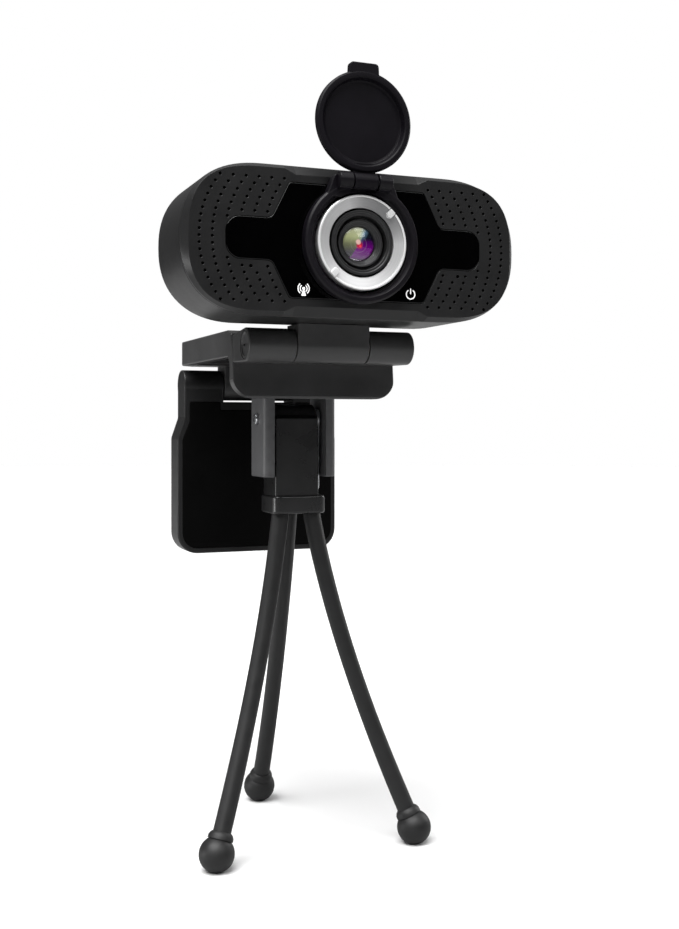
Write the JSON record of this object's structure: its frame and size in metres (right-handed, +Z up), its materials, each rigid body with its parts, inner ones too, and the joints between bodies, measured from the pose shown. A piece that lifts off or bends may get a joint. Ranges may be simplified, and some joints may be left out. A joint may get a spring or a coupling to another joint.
{
  "type": "webcam on mini tripod",
  "caption": "Desk webcam with a flip-up lens cover and focus ring, on a folding monitor clip that is screwed to a tilting mini tripod with bendable ball-footed legs.",
  "frame": {"origin": "on the floor, under the middle of the bounding box", "axes": "+Z up, the webcam looks along -Y, X runs across the webcam's width"},
  "size_m": [0.085, 0.0918, 0.1953],
  "materials": {
    "black_satin": "fine satin moulded plastic",
    "black_gloss": "polished black panel",
    "cover_black": "soft black, slightly purple",
    "silver_ring": "circular brushed silver",
    "lens_black": "black anodised look",
    "lens_glass": "coated optical glass",
    "steel": "plated steel",
    "brass": "turned",
    "circuit_board": "green solder mask",
    "chip": "moulded package",
    "filter_glass": "infrared cut filter",
    "rubber": "soft black rubber",
    "foam": "double-sided foam",
    "clear_plastic": "clear light guide",
    "washer_white": "low-friction polymer",
    "yoke_grey": "dark grey moulded plastic",
    "block_black": "semi-gloss black"
  },
  "bodies": {
    "tripod_block": {"tripod_block": "block_black"},
    "tripod_yoke": {"tripod_yoke": "yoke_grey", "mount_pad": "rubber", "tilt_pin": "steel"},
    "mount_screw": {"mount_screw": "steel", "thumb_wheel": "black_satin"},
    "lock_lever": {"lock_lever": "steel"},
    "clip_base": {"clip_base": "black_satin", "tripod_nut": "brass", "front_hinge_pin": "steel", "hinge_cap_left": "black_satin", "hinge_cap_right": "black_satin", "friction_washer_left": "washer_white", "friction_washer_right": "washer_white", "lip_pad": "rubber", "rear_hinge_pin": "steel"},
    "clip_leg": {"clip_leg": "black_satin", "leg_pad": "rubber"},
    "camera_head": {"front_housing": "black_satin", "rear_housing": "black_satin", "front_panel": "black_gloss", "cover_adhesive": "foam", "cover_base_ring": "cover_black", "cover_hinge_pin": "steel", "light_guide_left": "clear_plastic", "light_guide_right": "clear_plastic", "microphone_left": "steel", "microphone_right": "steel", "main_circuit_board": "circuit_board", "image_sensor": "chip", "infrared_filter": "filter_glass", "lens_holder": "lens_black", "usb_port": "steel", "port_board": "circuit_board", "neck_knuckle": "black_satin", "housing_screw_1": "steel", "housing_screw_2": "steel", "housing_screw_3": "steel", "housing_screw_4": "steel"},
    "cover_flap": {"cover_flap": "cover_black"},
    "focus_ring": {"focus_ring": "silver_ring", "lens_barrel": "lens_black", "lens_front_element": "lens_glass", "lens_rear_element": "lens_glass"},
    "leg_left": {"leg_sleeve_left": "rubber", "leg_core_left": "steel", "ball_foot_left": "rubber"},
    "leg_right": {"leg_sleeve_right": "rubber", "leg_core_right": "steel", "ball_foot_right": "rubber"},
    "leg_rear": {"leg_sleeve_rear": "rubber", "leg_core_rear": "steel", "ball_foot_rear": "rubber"}
  },
  "joints": [
    {"name": "tripod_tilt", "type": "hinge", "parent": "tripod_block", "child": "tripod_yoke", "pos_m": [0, 0.00653, 0.1124], "axis": [1, 0, 0], "range_deg": [-15, 40]},
    {"name": "lock_lever_turn", "type": "hinge", "parent": "tripod_block", "child": "lock_lever", "pos_m": [0, 0.00653, 0.1124], "axis": [1, 0, 0], "range_deg": [0, 90]},
    {"name": "mount_screw_turn", "type": "hinge", "parent": "tripod_yoke", "child": "mount_screw", "pos_m": [0, 0.00653, 0.12], "axis": [0, 0, 1], "range_deg": [-180, 180]},
    {"name": "pan", "type": "hinge", "parent": "tripod_yoke", "child": "clip_base", "pos_m": [0, 0.00653, 0.128], "axis": [0, 0, 1], "range_deg": [-170, 170]},
    {"name": "head_tilt", "type": "hinge", "parent": "clip_base", "child": "camera_head", "pos_m": [0, -0.02048, 0.1304], "axis": [1, 0, 0], "range_deg": [-15, 30]},
    {"name": "clip_leg_fold", "type": "hinge", "parent": "clip_base", "child": "clip_leg", "pos_m": [0, 0.04152, 0.1224], "axis": [1, 0, 0], "range_deg": [-20, 90]},
    {"name": "cover_flip", "type": "hinge", "parent": "camera_head", "child": "cover_flap", "pos_m": [0, -0.04398, 0.1674], "axis": [1, 0, 0], "range_deg": [0, 180]},
    {"name": "focus_turn", "type": "hinge", "parent": "camera_head", "child": "focus_ring", "pos_m": [0, -0.03997, 0.1534], "axis": [0, 1, 0], "range_deg": [-60, 60]},
    {"name": "leg_left_splay", "type": "hinge", "parent": "tripod_block", "child": "leg_left", "pos_m": [-0.0045, 0.00392, 0.0864], "axis": [-0.6117, 0.7911, 0], "range_deg": [-6, 14]},
    {"name": "leg_right_splay", "type": "hinge", "parent": "tripod_block", "child": "leg_right", "pos_m": [0.0045, 0.00392, 0.0864], "axis": [-0.6117, -0.7911, 0], "range_deg": [-6, 14]},
    {"name": "leg_rear_splay", "type": "hinge", "parent": "tripod_block", "child": "leg_rear", "pos_m": [0, 0.01013, 0.0864], "axis": [1, 0, 0], "range_deg": [-6, 14]}
  ]
}
